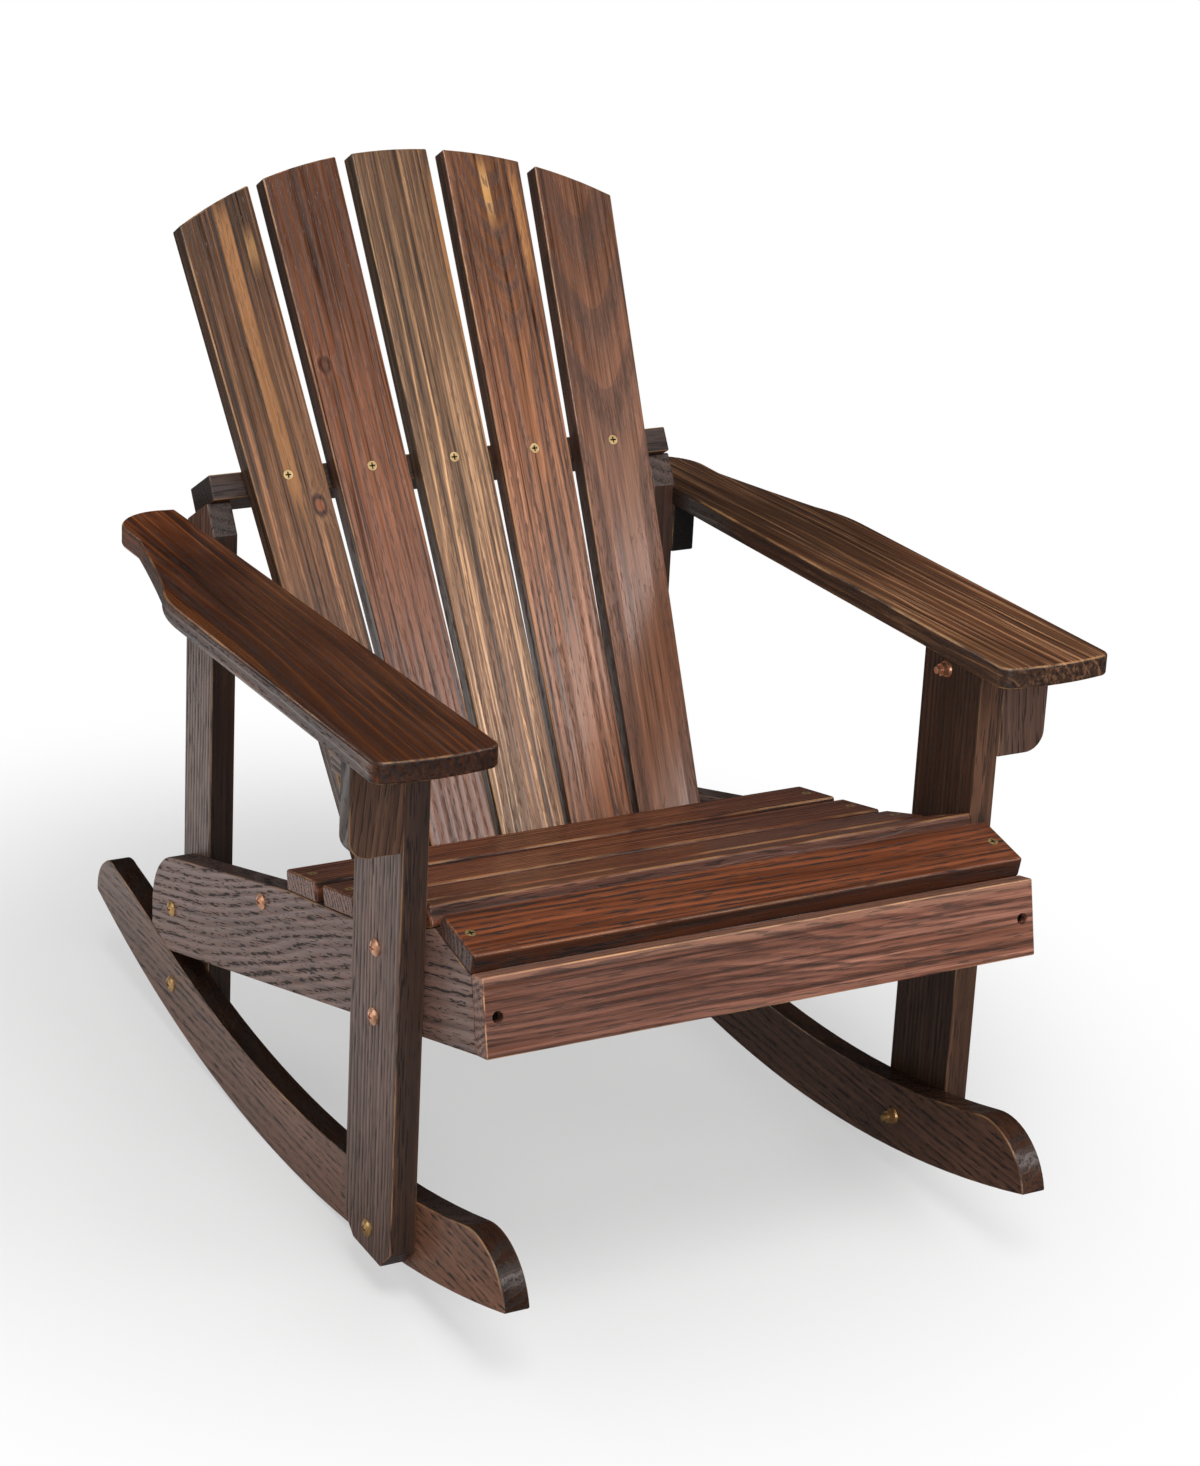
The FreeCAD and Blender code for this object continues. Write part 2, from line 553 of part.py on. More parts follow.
front_bolt_y = size("front_bolts")
rear_bolt_y = size("rear_bolts")
arm_bolt_z = cleat_low + size("batten_depth") / 2
leg_outer = size("seat_half_width") + size("frame_board")
FRAME_BOLTS = (
    (leg_outer, front_bolt_y, 231),
    (leg_outer, front_bolt_y, 184),
    (leg_outer, front_bolt_y, 35.6),
    (leg_outer + size("frame_board"), front_bolt_y + 7, arm_bolt_z),
    (size("seat_half_width"), rear_bolt_y, 109),
    (size("seat_half_width"), rear_bolt_y, 50.2),
    (size("seat_half_width"), rear_bolt_y, arm_bolt_z),
)
screw_x = size("seat_half_width") - size("frame_board") / 2
crosspiece_point = back_point(size("crosspiece_bolt"), size("slat_board") + size("frame_board") / 2)
for side, name in SIDES:
    for x, y, z in FRAME_BOLTS:
        fasten("frame_bolts", (side * x, y, z), (-side, 0, 0), size("bolt_length"))
        fasten("flange_nuts", (side * (x - 2 * size("frame_board")), y, z), (-side, 0, 0), size("nut_height"))
    fasten("crosspiece_bolts", (side * size("seat_half_width"), *crosspiece_point), (-side, 0, 0), 60)
    for rear, front in seat_slats + [front_slat]:
        angle = math.atan2(front[1] - rear[1], rear[0] - front[0])
        up = (0, math.sin(angle), math.cos(angle))
        middle = ((rear[0] + front[0]) / 2 + up[1] * board_step, (rear[1] + front[1]) / 2 + up[2] * board_step)
        fasten("seat_screws", (side * screw_x, *middle), (0, -up[1], -up[2]), 35)
    apron_middle = (apron_corner[0] - math.sin(apron_lean) * size("apron_height") / 2,
                    apron_corner[1] - math.cos(apron_lean) * size("apron_height") / 2)
    into_apron = (0, math.cos(apron_lean), -math.sin(apron_lean))
    sunk = size("apron_bore_depth")
    fasten("apron_screws", (side * screw_x, apron_middle[0] + into_apron[1] * sunk,
                            apron_middle[1] + into_apron[2] * sunk), into_apron, 40)
    for cleat_y in (front_bolt_y - 12, front_bolt_y + 20):
        fasten("arm_screws", (side * (leg_outer + size("frame_board") / 2), cleat_y, cleat_low), (0, 0, 1), 45)
    for cleat_y in (rear_bolt_y - 14, rear_bolt_y + 14):
        fasten("arm_screws", (side * screw_x, cleat_y, cleat_low), (0, 0, 1), 45)
    crossbar_top = back_point(crossbar_low + size("frame_board"), size("slat_board") + size("batten_depth") / 2)
    fasten("crossbar_screws", (side * (crosspiece_half - size("frame_board") / 2), *crossbar_top),
           (0, -slope_up[0], -slope_up[1]), 40)
into_back = (0, slope_back[0], slope_back[1])
BACK_ROWS = (("back_screws", crossbar_low + size("frame_board") / 2), ("back_lower_screws", crosspiece_mid))
for number in range(-2, 3):
    for group, along in BACK_ROWS:
        run = along - size("back_low")
        x = size("back_pitch") * number + run * math.tan(math.radians(size("back_fan") * number))
        fasten(group, (x, *back_point(along, 0)), into_back, 30)


def turned(profile):
    """A solid of revolution about Z from (radius, height) points that start and end on the axis."""
    wire = Part.makePolygon([Vector(r, 0, h) for r, h in profile + profile[:1]])
    return Part.Face(wire).revolve(Vector(0, 0, 0), Vector(0, 0, 1), 360)


def cross_slot(width, span, depth):
    """The cross recess of a screw head, from depth below the top of the head to above it."""
    blades = [Part.makeBox(a, b, depth + 1, Vector(-a / 2, -b / 2, -depth))
              for a, b in ((width, span), (span, width))]
    return blades[0].fuse(blades[1])


def bolt_solid(length):
    """A domed head above the seat at height 0 and a shank below it."""
    radius, dome, shank = size("bolt_head") / 2, size("bolt_dome"), size("bolt_shank") / 2
    rim = 0.8
    sphere_radius = (radius ** 2 + (dome - rim) ** 2) / (2 * (dome - rim))
    steps = 5
    cap = []
    for i in range(steps + 1):
        r = radius * (1 - i / steps)
        cap.append((r, rim + math.sqrt(sphere_radius ** 2 - r ** 2) - (sphere_radius - (dome - rim))))
    bevel = 0.5
    stem = [(0, -length), (shank - bevel, -length), (shank, -length + bevel), (shank, 0), (radius, 0)]
    solid = turned(stem + cap)
    slot = cross_slot(1.4, 5.6, 1.5)
    slot.translate(Vector(0, 0, dome))
    return solid.cut(slot)


# Thickness of a screw head's rim above its cone
SCREW_LIP = 0.4


def screw_solid(length):
    """A countersunk wood screw, its head flush with height 0."""
    head, shank = size("screw_head") / 2, size("screw_shank") / 2
    point = 5
    solid = turned([(0, -length), (shank, -length + point), (shank, -SCREW_LIP - (head - shank)),
                    (head, -SCREW_LIP), (head, 0), (0, 0)])
    return solid.cut(cross_slot(1.1, 4.4, 1.3))


def nut_solid(height):
    """A hexagon on a round flange, bored, with its seat at height 0 and its body below."""
    flange, across = size("nut_flange") / 2, size("nut_flats") / 2
    flange_height = 1.4
    corners = [Vector(across / math.cos(math.pi / 6) * math.cos(k * math.pi / 3),
                      across / math.cos(math.pi / 6) * math.sin(k * math.pi / 3), 0) for k in range(7)]
    hexagon = Part.Face(Part.makePolygon(corners)).extrude(Vector(0, 0, -height))
    base = Part.makeCone(flange, flange - 0.6, flange_height, Vector(0, 0, 0), Vector(0, 0, -1))
    bore = Part.makeCylinder(size("bolt_shank") / 2 + 0.1, height + 2, Vector(0, 0, 1), Vector(0, 0, -1))
    return hexagon.fuse(base).cut(bore).removeSplitter()


def plain_hole(shank, length):
    room = size("hole_clearance")
    return Part.makeCylinder(shank / 2 + room, length + room, Vector(0, 0, 0), Vector(0, 0, -1))


def screw_hole(length, bore=None):
    """The hole of a countersunk screw, open above the head, at the width of the bore if one is given."""
    room, above = size("hole_clearance"), 10
    head, shank = size("screw_head") / 2 + room, size("screw_shank") / 2 + room
    profile = [(0, -length - room), (shank, -length - room), (shank, -SCREW_LIP - (head - shank)),
               (head, -SCREW_LIP)]
    if bore:
        profile.append((bore / 2, -SCREW_LIP))
    top = profile[-1][0]
    return turned(profile + [(top, above), (0, above)])


METAL = {"frame_bolts": bolt_solid, "crosspiece_bolts": bolt_solid, "flange_nuts": nut_solid,
         "seat_screws": screw_solid, "back_screws": screw_solid, "back_lower_screws": screw_solid,
         "apron_screws": screw_solid, "arm_screws": screw_solid, "crossbar_screws": screw_solid}


def hole_solid(group, length):
    if group in ("frame_bolts", "crosspiece_bolts"):
        return plain_hole(size("bolt_shank"), length)
    return screw_hole(length, size("apron_bore") if group == "apron_screws" else None)


def stood(solid, position, direction):
    """A copy of a solid whose -Z axis points along the direction."""
    copy = solid.copy()
    copy.Placement = FreeCAD.Placement(position, FreeCAD.Rotation(Vector(0, 0, -1), direction))
    return copy


groups, holes = {}, []
for group, position, direction, length in fastener_list:
    groups.setdefault(group, []).append(stood(METAL[group](length), position, direction))
    if group != "flange_nuts":
        holes.append(stood(hole_solid(group, length), position, direction))

# Every board that a fastener passes is cut by the holes of its own fasteners
nodes = []
for label, body in boards.items():
    own = [hole for hole in holes
           if body.Shape.BoundBox.intersect(hole.BoundBox) and body.Shape.distToShape(hole)[0] < 1e-6]
    node = body
    if own:
        drill = doc.addObject("Part::Feature", label + "_holes")
        drill.Shape = Part.makeCompound(own)
        node = doc.addObject("Part::Cut", label)
        node.Base = body
        node.Tool = drill
    node.Label = label
    nodes.append(node)
for group, solids in groups.items():
    feature = doc.addObject("Part::Feature", group)
    feature.Label = group
    feature.Shape = Part.makeCompound(solids)
    nodes.append(feature)
doc.recompute()

# The chair rolls back on its rockers, whose centre keeps its height, and is centred on the origin
pitch = FreeCAD.Rotation(Vector(1, 0, 0), -size("rest_pitch"))
pivot = Vector(0, *rocker_centre)
rolled = FreeCAD.Placement(pivot - pitch.multVec(pivot), pitch)
ends = boards["left_rocker"].Shape.transformed(rolled.toMatrix()).BoundBox
rest = FreeCAD.Placement(rolled.Base - Vector(0, (ends.YMin + ends.YMax) / 2, 0), pitch)
for node in nodes:
    node.Placement = rest.multiply(node.Placement)
doc.recompute()

for thing in doc.Objects:
    if any(word in thing.State for word in ("Invalid", "Error")):
        raise RuntimeError("%s: %s" % (thing.Name, thing.State))
for node in nodes:
    if node.Shape.isNull() or not node.Shape.isValid():
        raise RuntimeError("bad shape: " + node.Label)

os.makedirs("parts", exist_ok=True)
for node in nodes:
    node.Shape.exportStep("parts/%s.step" % node.Label)
    print("%-26s solids %2d  volume %9.0f" % (node.Label, len(node.Shape.Solids), node.Shape.Volume))
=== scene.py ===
"""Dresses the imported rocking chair: stained softwood boards, each with its own grain, and plated hardware.

Everything is in metres in the row frame: the floor is z = 0 and the sitter faces -Y.
"""
import math
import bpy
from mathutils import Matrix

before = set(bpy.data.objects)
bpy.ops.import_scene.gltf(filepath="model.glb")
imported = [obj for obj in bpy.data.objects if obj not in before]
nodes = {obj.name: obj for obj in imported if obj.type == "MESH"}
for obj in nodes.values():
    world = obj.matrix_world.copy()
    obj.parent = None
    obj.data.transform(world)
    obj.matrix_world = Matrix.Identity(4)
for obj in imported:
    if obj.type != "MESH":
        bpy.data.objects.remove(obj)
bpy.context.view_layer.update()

from types import SimpleNamespace
import bpy
import numpy as np
from mathutils import Matrix, Vector

# The photograph's camera, in the row frame. Angles are in degrees, and the lens and sensor in millimetres
CAMERA_PLACE = (-1.1645, -2.0382, 1.2437)
CAMERA_AZIMUTH, CAMERA_ELEVATION, CAMERA_ROLL = -30.401, 22.225, 3.996
CAMERA_LENS, CAMERA_SENSOR = 91.95, 36.0

# The direction in which the boards' shown faces are turned: to the front, to -X and up
SHOWN_SIDE = (-0.45, -0.80, 0.40)

# The sockets of a Mix node for colours, and the number's socket of a Vector Math node that scales
MIX_SHARE, MIX_FIRST, MIX_SECOND, MIX_RESULT = 0, 6, 7, 2
SCALE_STRENGTH = 3


class Wire:
    """A value carried by a node socket. Arithmetic on a number adds Math nodes to its finish."""

    def __init__(self, finish, socket):
        self.finish, self.socket = finish, socket

    def math(self, operation, *values):
        node = self.finish.node("ShaderNodeMath", {"operation": operation}, dict(enumerate(values)))
        return Wire(self.finish, node.outputs[0])

    def __add__(self, other):
        return self.math("ADD", self, other)

    def __radd__(self, other):
        return self.math("ADD", other, self)

    def __sub__(self, other):
        return self.math("SUBTRACT", self, other)

    def __rsub__(self, other):
        return self.math("SUBTRACT", other, self)

    def __mul__(self, other):
        return self.math("MULTIPLY", self, other)

    def __truediv__(self, other):
        return self.math("DIVIDE", self, other)

    def __abs__(self):
        return self.math("ABSOLUTE", self)

    def root(self):
        return self.math("SQRT", self)

    def part(self):
        return self.math("FRACT", self)

    def least(self, other):
        return self.math("MINIMUM", self, other)

    def most(self, other):
        return self.math("MAXIMUM", self, other)

    def rise(self, low, high):
        """0 below low, 1 above high, smooth between."""
        node = self.finish.node("ShaderNodeMapRange", {"interpolation_type": "SMOOTHSTEP"},
                                {"Value": self, "From Min": low, "From Max": high})
        return Wire(self.finish, node.outputs[0])

    def fall(self, low, high):
        """1 below low, 0 above high, smooth between."""
        return 1.0 - self.rise(low, high)


class Finish:
    """A material or a world, and the nodes it is made of."""

    def __init__(self, holder):
        self.holder = holder
        holder.use_nodes = True
        self.tree = holder.node_tree
        self.tree.nodes.clear()

    def node(self, kind, settings=None, inputs=None):
        """A node of that kind: its settings first, then the values or links of its sockets."""
        made = self.tree.nodes.new(kind)
        for key, value in (settings or {}).items():
            setattr(made, key, value)
        for key, value in (inputs or {}).items():
            if isinstance(value, Wire):
                self.tree.links.new(value.socket, made.inputs[key])
            else:
                made.inputs[key].default_value = value
        return made

    def wire(self, node, output=0):
        return Wire(self, node.outputs[output])

    def coordinates(self, kind="Object"):
        return self.wire(self.node("ShaderNodeTexCoord"), kind)

    def rays(self):
        """1 for what the camera sees straight on, and 1 for what is seen in gloss."""
        path = self.node("ShaderNodeLightPath")
        return self.wire(path, "Is Camera Ray"), self.wire(path, "Is Glossy Ray")

    def vector(self, operation, *values, output="Vector"):
        node = self.node("ShaderNodeVectorMath", {"operation": operation}, dict(enumerate(values)))
        return self.wire(node, output)

    def dot(self, first, second):
        return self.vector("DOT_PRODUCT", first, second, output="Value")

    def joined(self, *numbers):
        """A vector made of the numbers for x, y and z."""
        return self.wire(self.node("ShaderNodeCombineXYZ", None, dict(enumerate(numbers))))

    def noise(self, place, stretch, detail=2.0, roughness=0.5, shift=(0.0, 0.0, 0.0)):
        """Noise of 0 to 1 at a place, squeezed by the stretch on each axis."""
        squeezed = self.vector("MULTIPLY_ADD", place, stretch, shift)
        return self.wire(self.node("ShaderNodeTexNoise", None, {
            "Vector": squeezed, "Scale": 1.0, "Detail": detail, "Roughness": roughness}))

    def mix(self, first, second, share):
        """The first colour, or the second where the share is 1."""
        node = self.node("ShaderNodeMix", {"data_type": "RGBA"},
                         {MIX_SHARE: share, MIX_FIRST: first, MIX_SECOND: second})
        return self.wire(node, MIX_RESULT)

    def scaled(self, colour, strength):
        """A colour made lighter or darker by a number."""
        node = self.node("ShaderNodeVectorMath", {"operation": "SCALE"},
                         {0: colour, SCALE_STRENGTH: strength})
        return self.wire(node)

    def bump(self, height, depth):
        """The normal of a relief, from a height of 0 to 1 and how deep that is."""
        node = self.node("ShaderNodeBump", None, {"Height": height, "Strength": 1.0, "Distance": depth})
        return self.wire(node)

    def principled(self, **sockets):
        """A surface shader. Its sockets go by their names, with _ for a space."""
        inputs = {name.replace("_", " "): value for name, value in sockets.items()}
        return self.wire(self.node("ShaderNodeBsdfPrincipled", None, inputs))

    def end(self, surface, output="ShaderNodeOutputMaterial"):
        """Ends the tree with that shader and gives the material or world back."""
        self.node(output, None, {"Surface": surface})
        return self.holder


def rgb(red, green, blue):
    return (red, green, blue, 1.0)


def mesh_rows(items, attribute, width):
    """An attribute of a mesh's vertices or faces, as a row of numbers for each."""
    values = np.empty(len(items) * width, np.float32)
    items.foreach_get(attribute, values)
    return values.reshape(-1, width)


class Board:
    """A board's own directions: along its length, across its face, and out of the face that shows."""

    def __init__(self, obj):
        points = mesh_rows(obj.data.vertices, "co", 3).astype(float)
        normals = mesh_rows(obj.data.polygons, "normal", 3)
        areas = mesh_rows(obj.data.polygons, "area", 1)[:, 0]
        # The face that shows is the direction with the most area
        direction = np.unique(np.round(normals, 2), axis=0, return_inverse=True)[1].ravel()
        widest = np.bincount(direction, weights=areas).argmax()
        out = normals[direction == widest][0].astype(float)
        out /= np.linalg.norm(out)
        out *= 1.0 if out @ np.array(SHOWN_SIDE) > 0 else -1.0
        # The length is the widest spread within that face
        centred = points - points.mean(0)
        flat = centred - np.outer(centred @ out, out)
        along = np.linalg.svd(flat, full_matrices=False)[2][0]
        along *= 1.0 if along[np.abs(along).argmax()] > 0 else -1.0
        axes = np.array([along, np.cross(out, along), out])
        reach = points @ axes.T
        self.centre = Vector(((reach.max(0) + reach.min(0)) / 2) @ axes)
        self.half_length, self.half_width, self.half_depth = (
            float(half) for half in (reach.max(0) - reach.min(0)) / 2)
        self.along, self.across, self.out = (Vector(axis) for axis in axes)


# What a board of this softwood looks like where nothing else is said, in metres and linear colours
PLAIN_BOARD = {
    # The early wood, the late wood, the dark patches, the worn edges and the open pores
    "dark": rgb(0.075, 0.030, 0.014), "light": rgb(0.21, 0.105, 0.055), "blotch": rgb(0.10, 0.035, 0.016),
    "worn": rgb(0.42, 0.22, 0.09), "pore": rgb(0.012, 0.006, 0.004),
    # A year's width, how far the years are shifted, and where in a year the late wood starts and is full
    "spacing": 0.0042, "phase": 0.0, "band": (0.25, 0.86),
    # The pith's place across the board and under its face, and how far it wanders
    "pith": (0.004, 0.030), "wander": 0.010,
    # How far the rings wave, and how uneven they are. A swell is a shift of the rings, and between which two
    # places along the board it grows
    "wobble": 0.004, "uneven": 0.006, "swells": (),
    # How much the late wood shows, and how much that differs by the year
    "contrast": 0.5, "vary": 0.8,
    # How much the fibres, clouds, light threads, dark furrows and dark patches show
    "fibre": 0.5, "mottle": 0.35, "threads": 0.3, "furrows": 0.35, "blotches": 0.4,
    # How much the pores show, how many more start in the early wood, and their number in a metre each way
    "pores": 0.5, "pore_band": 0.15, "pore_size": (125.0, 1100.0),
    # How worn the edges are, and the brightness of the sides and ends
    "wear": 0.7, "side": 0.55, "end": 0.5,
    # The brightness at first and at the far end, and the share of the half length where it starts to change
    "fade": (1.0, 1.0, -1.0),
    # The late wood's roughness, how much rougher the early wood is, the lacquer and the depth of the relief
    "gloss": 0.36, "dull": 0.20, "coat": 0.2, "relief": 0.0002,
    # A streak is its start and end along the board, its place across at each of them, its half width, its
    # tone and its strength
    "streaks": (),
    # A knot is its place along and across, its radius, how many radii it pushes the rings, and its tone
    "knots": (),
    # Boards with different seeds have different noise
    "seed": 0.0,
}

# The noises of the wood: changes in a metre along the board and across it, detail and roughness
BEND = (3.0, 0.6, 1.0, 0.5)
WOBBLE = (9.0, 22.0, 2.0, 0.5)
JITTER = (45.0, 260.0, 2.0, 0.5)
UNEVEN = (3.0, 55.0, 1.0, 0.5)
FINE = (22.0, 800.0, 2.0, 0.6)
STREAKY = (4.5, 190.0, 5.0, 0.7)
CLOUD = (7.0, 22.0, 3.0, 0.55)
THREAD = (4.0, 330.0, 2.0, 0.6)
RUBBED = (14.0, 60.0, 3.0, 0.6)
PORE_DETAIL, PORE_ROUGHNESS = 1.0, 0.5
YEAR_ALONG, YEAR_STRETCH, YEAR_DETAIL = 6.0, (0.55, 1.0, 1.0), 1.0

# How far a seed shifts the noises, and the threads
SHIFT_BY_SEED, SHIFT_FIRST = (3.7, 7.1, 1.3), (0.0, 2.0, 5.0)
THREAD_SHIFT_BY_SEED = (1.0, 5.0, 1.0)

# How far the jitter moves the rings, in metres
RING_JITTER = 0.0006

# Shares of a year: how long the late wood stays full, and where the pores' band starts and ends. The band
# adds pores in every year, and more in some
LATE_STAY = 0.04
PORE_BAND_START, PORE_BAND_END, PORE_BAND_EVERY, PORE_BAND_SOME = (0.02, 0.16), (0.34, 0.52), 0.6, 0.6

# Where each noise starts to show as a mark, and where it shows in full
YEAR_EDGE = (0.3, 0.7)
PORE_EDGE = (0.64, 0.71)
BLOTCH_EDGE = (0.42, 0.68)
THREAD_EDGE, THREAD_CLOUD_EDGE = (0.53, 0.62), (0.3, 0.6)
FURROW_EDGE = (0.36, 0.45)
RUBBED_EDGE = (0.38, 0.62)

# How much each noise changes the brightness, and the darkest that they leave together
FINE_TONE, STREAKY_TONE, CLOUD_TONE, DARKEST_TONE = 1.6, 3.2, 2.0, 0.25

# Streaks: the share of the width that is full, the waves of the edge, the soft start and end, and how much
# the streaky noise thins them
STREAK_FULL, STREAK_WAVE, STREAK_START, STREAK_END = 0.7, 0.006, 0.02, (0.01, 0.02)
STREAK_GRAIN_EDGE, STREAK_GRAIN = (0.3, 0.6), 0.5

# Knots: their shape along the board, and in radii the outline's waves and the reach of the pushed rings
KNOT_STRETCH, KNOT_WAVE, KNOT_JITTER, KNOT_REACH = 0.7, 1.6, 0.8, 4.0
# The light halo, the core and the dark rim: where they start and end in radii, and how much they show
HALO_START, HALO_END, HALO_GRAIN_EDGE = (0.8, 1.3), (1.3, 2.6), (0.35, 0.6)
HALO_LIGHT, HALO_SHARE = 1.5, 0.3
CORE_END, CORE_SHARE = (0.6, 1.0), 0.9
RIM_START, RIM_END, RIM_TONE = (0.45, 0.9), (1.0, 1.7), rgb(0.030, 0.009, 0.004)
RIM_GRAIN_EDGE, RIM_GRAIN, RIM_LEAST = (0.3, 0.55), 0.6, 0.3

# How far a surface is turned from the board's face, or towards its end, to be a side, an end or an edge
SIDE_EDGE, END_EDGE, CORNER_END = (0.3, 0.9), (0.7, 0.95), (0.75, 0.95)
WORN_EDGE = (0.15, 0.7)

# What makes up the height of the relief, what adds to the roughness, and the roughness's limits
HEIGHT_LATE, HEIGHT_FINE, HEIGHT_PORE, HEIGHT_STREAKY = 0.2, 0.4, 0.6, 0.3
ROUGH_FINE, ROUGH_PORE, SMOOTHEST, ROUGHEST = 0.2, 0.25, 0.12, 0.95
COAT_ROUGHNESS = 0.2


class Wood(Finish):
    """Stained wood as a solid pattern.

    The growth rings are tubes round a pith line that wanders along the board, so a flat-sawn face shows
    arches, a side shows lines and an end shows arcs. A swell shifts the rings by an amount between two
    places along the board, which bends the lines there or closes them in tips. A ring starts dark, with open
    pores as short dark strokes, and ends in a light smooth band. Fibres are noise drawn out along the board,
    with thin light threads and dark furrows among them. Streaks are light bands of clear wood, and knots push
    the rings aside.
    """

    def __init__(self, name, obj, **own):
        super().__init__(bpy.data.materials.new(name))
        self.look = SimpleNamespace(**dict(PLAIN_BOARD, **own))
        self.board = Board(obj)
        from_centre = self.vector("SUBTRACT", self.coordinates(), self.board.centre)
        self.along, self.across, self.out = (
            self.dot(from_centre, axis) for axis in (self.board.along, self.board.across, self.board.out))
        self.place = self.joined(self.along, self.across, self.out)
        self.shift = tuple(self.look.seed * step + first for step, first in zip(SHIFT_BY_SEED, SHIFT_FIRST))
        self.wobble, self.jitter = self.waves(*WOBBLE), self.waves(*JITTER)
        self.fine, self.streaky, self.cloud = self.grain(*FINE), self.grain(*STREAKY), self.grain(*CLOUD)
        self.knots = [(self.from_knot(*knot[:3]), *knot[2:]) for knot in self.look.knots]

    def grain(self, along, across, detail, roughness, shift=None):
        """Noise of 0 to 1, drawn out along the board."""
        return self.noise(self.place, (along, across, across), detail, roughness, shift or self.shift)

    def waves(self, *noise):
        """The same about 0, from -0.5 to 0.5."""
        return self.grain(*noise) - 0.5

    def from_knot(self, along, across, radius):
        """The distance from a knot's middle, with waves in the outline."""
        past, beside = (self.along - along) * KNOT_STRETCH, self.across - across
        return (past * past + beside * beside).root() \
            + self.wobble * (radius * KNOT_WAVE) + self.jitter * (radius * KNOT_JITTER)

    def rings(self):
        """The years counted out from the pith."""
        look = self.look
        pith_across, pith_depth = look.pith
        aside = self.across - self.waves(*BEND) * (look.wander * 2.0) - pith_across
        deep = self.out + pith_depth
        level = (aside * aside + deep * deep).root() + self.wobble * look.wobble \
            + self.jitter * RING_JITTER + self.waves(*UNEVEN) * look.uneven
        for amount, start, end in look.swells:
            level = level - self.along.rise(start, end) * amount
        for distance, radius, push, _ in self.knots:
            level = distance.fall(0.0, radius * KNOT_REACH) * (radius * push) + level
        return level / look.spacing + look.phase

    def stained(self, late, vary):
        """The early and late wood with its patches, threads, furrows and fibres, fading along the board."""
        look = self.look
        share = late * look.contrast * (vary * look.vary + (1 - look.vary))
        colour = self.mix(look.dark, look.light, share)
        colour = self.mix(colour, look.blotch, self.cloud.rise(*BLOTCH_EDGE) * look.blotches)
        thread = self.grain(*THREAD, tuple(look.seed * step for step in THREAD_SHIFT_BY_SEED))
        light_threads = thread.rise(*THREAD_EDGE) * self.cloud.rise(*THREAD_CLOUD_EDGE) * look.threads
        colour = self.mix(colour, look.light, light_threads)
        colour = self.scaled(colour, 1.0 - thread.fall(*FURROW_EDGE) * look.furrows)
        tone = (self.fine - 0.5) * look.fibre * FINE_TONE + (self.streaky - 0.5) * look.fibre * STREAKY_TONE \
            + (self.cloud - 0.5) * look.mottle * CLOUD_TONE + 1.0
        # On the back slats this fade along the board is painted light: lighter low down and darker at the top
        first, last, start = look.fade
        length = self.board.half_length
        faded = self.along.rise(start * length, length) * (last - first) + first
        return self.scaled(colour, tone.most(DARKEST_TONE) * faded)

    def streaked(self, colour):
        """The colour with the light bands of clear wood on it."""
        for start, end, side_start, side_end, width, tone, strength in self.look.streaks:
            middle = (self.along - start) * ((side_end - side_start) / (end - start)) + side_start
            away = abs(self.across - middle - self.wobble * STREAK_WAVE)
            there = away.fall(width * STREAK_FULL, width) \
                * self.along.rise(start - STREAK_START, start + STREAK_START) \
                * self.along.fall(end - STREAK_END[0], end + STREAK_END[1])
            grain = self.streaky.rise(*STREAK_GRAIN_EDGE) * STREAK_GRAIN + (1.0 - STREAK_GRAIN)
            colour = self.mix(colour, tone, there * grain * strength)
        return colour

    def knotted(self, colour):
        """The colour with each knot's light halo, core and dark rim on it."""
        halo_tone = rgb(*(HALO_LIGHT * part for part in self.look.light[:3]))
        for distance, radius, _, tone in self.knots:
            radii = distance / radius
            halo = radii.rise(*HALO_START) * radii.fall(*HALO_END) * self.streaky.rise(*HALO_GRAIN_EDGE)
            colour = self.mix(colour, halo_tone, halo * HALO_SHARE)
            colour = self.mix(colour, tone, radii.fall(*CORE_END) * CORE_SHARE)
            rim = radii.rise(*RIM_START) * radii.fall(*RIM_END)
            grain = self.streaky.rise(*RIM_GRAIN_EDGE) * RIM_GRAIN + RIM_LEAST
            colour = self.mix(colour, RIM_TONE, rim * grain)
        return colour

    def worn(self, colour):
        """The colour with darker sides and ends, and with the stain rubbed off along the face's edges."""
        look = self.look
        normal = self.wire(self.node("ShaderNodeNewGeometry"), "Normal")
        facing, ending = abs(self.dot(normal, self.board.out)), abs(self.dot(normal, self.board.along))
        colour = self.scaled(colour, 1.0 - facing.fall(*SIDE_EDGE) * (1.0 - look.side))
        colour = self.scaled(colour, 1.0 - ending.rise(*END_EDGE) * (1.0 - look.end))
        # A bevel between the face and a side is 1 halfway, and both of them are 0
        flat = facing * facing
        corner = flat * (1.0 - flat) * 4.0 * ending.fall(*CORNER_END)
        rubbed = self.grain(*RUBBED).rise(*RUBBED_EDGE)
        return self.mix(colour, look.worn, corner.rise(*WORN_EDGE) * rubbed * look.wear)

    def made(self):
        """The finished material."""
        look = self.look
        rings = self.rings()
        year = rings.part()
        band_start, band_full = look.band
        late = year.rise(band_start, band_full) * year.fall(band_full + LATE_STAY, 1.0)
        year_place = self.joined(rings, self.along * YEAR_ALONG)
        vary = self.noise(year_place, YEAR_STRETCH, YEAR_DETAIL, shift=self.shift).rise(*YEAR_EDGE)
        pore_band = year.rise(*PORE_BAND_START) * year.fall(*PORE_BAND_END)
        pores = (self.grain(*look.pore_size, PORE_DETAIL, PORE_ROUGHNESS)
                 + pore_band * look.pore_band * (vary * PORE_BAND_SOME + PORE_BAND_EVERY)).rise(*PORE_EDGE)

